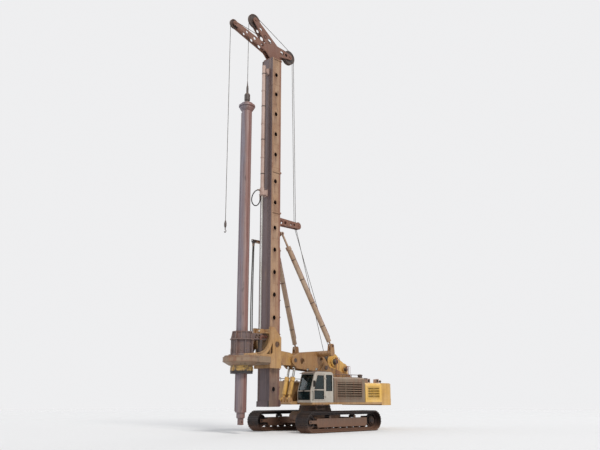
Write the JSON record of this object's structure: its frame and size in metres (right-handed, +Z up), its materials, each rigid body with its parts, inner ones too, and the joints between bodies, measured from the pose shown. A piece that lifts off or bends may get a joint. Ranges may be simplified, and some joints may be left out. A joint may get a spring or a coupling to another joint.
{
  "type": "tracked rotary piling rig",
  "caption": "Tracked piling rig: slewing carriage with cab and winches, leader mast held by backstay cylinders, kelly bar and a sliding rotary head with casing drive.",
  "frame": {"origin": "middle of the machine's box on the ground", "axes": "the machine faces -Y, its left side is +X, +Z is up"},
  "size_m": [4.3, 10.975, 21.8998],
  "materials": {
    "undercarriage_steel": "dark, muddy",
    "track_steel": "worn, muddy",
    "ochre_paint": "faded ochre yellow with rust",
    "yellow_paint": "bright yellow, dusty",
    "grey_paint": "faded grey",
    "cab_paint": "pale grey, dusty",
    "cab_glazing": "dark tinted",
    "seat_vinyl": "black vinyl",
    "dark_steel": "dark brown, greasy",
    "rusty_steel": "red-brown, weathered",
    "kelly_steel": "weathered grey-brown",
    "stay_paint": "faded tan",
    "rod_chrome": "polished",
    "engine_iron": "dark",
    "hose_rubber": "black, dusty",
    "rope_steel": "greased"
  },
  "bodies": {
    "undercarriage": {"carbody": "undercarriage_steel", "track_frame_left": "undercarriage_steel", "track_frame_right": "undercarriage_steel", "track_left": "track_steel", "track_right": "track_steel", "drive_sprockets": "track_steel", "idlers": "track_steel", "track_rollers": "track_steel", "slew_ring": "undercarriage_steel"},
    "upper": {"deck": "ochre_paint", "pedestal": "ochre_paint", "counterweight": "yellow_paint", "engine_hood": "yellow_paint", "engine": "engine_iron", "tank_housing": "ochre_paint", "pump_housing": "grey_paint", "cab_shell": "cab_paint", "cab_glass": "cab_glazing", "operator_seat": "seat_vinyl", "exhaust": "dark_steel", "winch_frame": "yellow_paint"},
    "cab_door": {"cab_door": "cab_paint", "cab_door_glass": "cab_glazing"},
    "main_winch": {"main_winch_drum": "rope_steel"},
    "aux_winch": {"aux_winch_drum": "rope_steel"},
    "boom": {"boom": "ochre_paint"},
    "boom_barrels": {"boom_cylinder_barrels": "yellow_paint"},
    "boom_rods": {"boom_cylinder_rods": "rod_chrome"},
    "stay_barrel_left": {"backstay_barrel_left": "stay_paint"},
    "stay_barrel_right": {"backstay_barrel_right": "stay_paint"},
    "stay_rod_left": {"backstay_rod_left": "stay_paint"},
    "stay_rod_right": {"backstay_rod_right": "stay_paint"},
    "mast": {"mast_lower": "ochre_paint", "mast_middle": "ochre_paint", "mast_upper": "ochre_paint", "mast_cradle": "yellow_paint", "rear_sheave_bracket": "rusty_steel", "crowd_barrel": "stay_paint", "cathead": "rusty_steel", "cathead_sheaves": "dark_steel", "head_hose_inner": "hose_rubber", "head_hose_outer": "hose_rubber", "crowd_hose": "hose_rubber"},
    "head": {"head_sled": "ochre_paint", "gear_case": "ochre_paint", "damper_section": "rusty_steel", "top_ring": "rusty_steel", "head_motors": "dark_steel", "crowd_rod": "rod_chrome"},
    "casing_drive": {"casing_drive": "dark_steel"},
    "swivel": {"kelly_swivel": "dark_steel"},
    "kelly": {"kelly_bar": "kelly_steel"}
  },
  "joints": [
    {"name": "slew", "type": "hinge", "parent": "undercarriage", "child": "upper", "pos_m": [0, 0.7375, 1.24], "axis": [0, 0, 1], "continuous": true},
    {"name": "cab_door_hinge", "type": "hinge", "parent": "upper", "child": "cab_door", "pos_m": [1.472, -0.0025, 2], "axis": [0, 0, 1], "range_deg": [0, 150]},
    {"name": "main_winch_turn", "type": "hinge", "parent": "upper", "child": "main_winch", "pos_m": [0, 1.8175, 3.48], "axis": [1, 0, 0], "continuous": true},
    {"name": "aux_winch_turn", "type": "hinge", "parent": "upper", "child": "aux_winch", "pos_m": [0, 2.6375, 3.1], "axis": [1, 0, 0], "continuous": true},
    {"name": "boom_luff", "type": "hinge", "parent": "upper", "child": "boom", "pos_m": [0, 1.0875, 3.15], "axis": [-1, 0, 0], "range_deg": [0, 6]},
    {"name": "boom_barrel_swing", "type": "hinge", "parent": "upper", "child": "boom_barrels", "pos_m": [0, -1.3125, 1.56], "axis": [-1, 0, 0], "range_deg": [-3, 3]},
    {"name": "boom_rod_slide", "type": "slide", "parent": "boom_barrels", "child": "boom_rods", "axis": [0, 0.2484, 0.9687], "range_m": [-0.05, 0.26]},
    {"name": "mast_tilt", "type": "hinge", "parent": "boom", "child": "mast", "pos_m": [0, -1.0625, 3.45], "axis": [1, 0, 0], "range_deg": [-10, 4]},
    {"name": "stay_barrel_left_swing", "type": "hinge", "parent": "boom", "child": "stay_barrel_left", "pos_m": [1.3, 0.6075, 4.2], "axis": [1, 0, 0], "range_deg": [-12, 6]},
    {"name": "stay_rod_left_slide", "type": "slide", "parent": "stay_barrel_left", "child": "stay_rod_left", "axis": [-0.1542, -0.4085, 0.8996], "range_m": [-0.36, 0.16]},
    {"name": "stay_barrel_right_swing", "type": "hinge", "parent": "boom", "child": "stay_barrel_right", "pos_m": [-1.3, 0.6075, 4.2], "axis": [1, 0, 0], "range_deg": [-12, 6]},
    {"name": "stay_rod_right_slide", "type": "slide", "parent": "stay_barrel_right", "child": "stay_rod_right", "axis": [0.1542, -0.4085, 0.8996], "range_m": [-0.36, 0.16]},
    {"name": "head_crowd", "type": "slide", "parent": "mast", "child": "head", "axis": [0, 0, 1], "range_m": [-1, 5.4], "deforming": ["head_hose_inner", "head_hose_outer"]},
    {"name": "casing_drive_turn", "type": "hinge", "parent": "head", "child": "casing_drive", "pos_m": [0, -4.2125, 3.105], "axis": [0, 0, 1], "continuous": true},
    {"name": "kelly_hoist", "type": "slide", "parent": "mast", "child": "swivel", "axis": [0, 0, 1], "range_m": [-0.3, 1]},
    {"name": "kelly_turn", "type": "hinge", "parent": "swivel", "child": "kelly", "pos_m": [0, -4.2125, 16.6], "axis": [0, 0, 1], "continuous": true}
  ],
  "couplings": [
    {"joint": "boom_barrel_swing", "follows": "boom_luff", "ratio": -0.25443},
    {"joint": "boom_rod_slide", "follows": "boom_luff", "m_per_rad": 1.953},
    {"joint": "stay_barrel_left_swing", "follows": "mast_tilt", "ratio": 1.0173},
    {"joint": "stay_rod_left_slide", "follows": "mast_tilt", "m_per_rad": 1.8476},
    {"joint": "stay_barrel_right_swing", "follows": "mast_tilt", "ratio": 1.0173},
    {"joint": "stay_rod_right_slide", "follows": "mast_tilt", "m_per_rad": 1.8476},
    {"joint": "kelly_turn", "follows": "casing_drive_turn", "ratio": 1}
  ]
}
